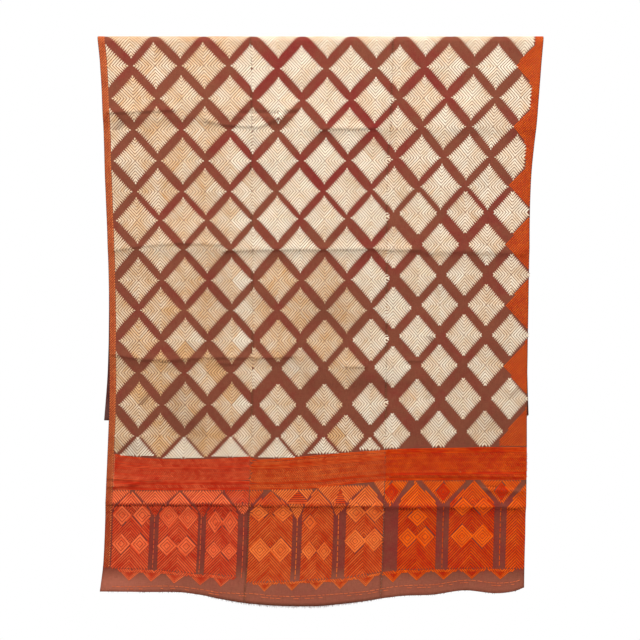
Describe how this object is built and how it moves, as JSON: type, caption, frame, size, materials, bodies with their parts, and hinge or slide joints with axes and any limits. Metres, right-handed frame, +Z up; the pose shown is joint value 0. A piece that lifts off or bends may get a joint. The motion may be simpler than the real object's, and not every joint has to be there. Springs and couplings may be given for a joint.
{
  "type": "hanging phulkari cloth",
  "caption": "Darned silk and cotton wrap cloth hung over a rail, its long embroidered part in front and its short part behind.",
  "frame": {"origin": "under the crest of the fold, at the middle of the rail line where the rail bears", "axes": "+Z up along the drop, +X to the right of a viewer facing the front, -Y out of the embroidered front"},
  "size_m": [1.207, 0.0614, 1.542],
  "materials": {
    "ground_cloth": "coarse plain-woven cotton, dull madder red-brown",
    "ivory_floss": "untwisted ivory silk floss in raised darning stitches, soft sheen, tanned in places",
    "orange_floss": "untwisted orange silk floss in raised darning stitches, soft sheen",
    "seam_thread": "dark cotton sewing thread, matt"
  },
  "bodies": {
    "root": {"panel_left": "ground_cloth", "panel_middle": "ground_cloth", "panel_right": "ground_cloth"}
  },
  "joints": []
}
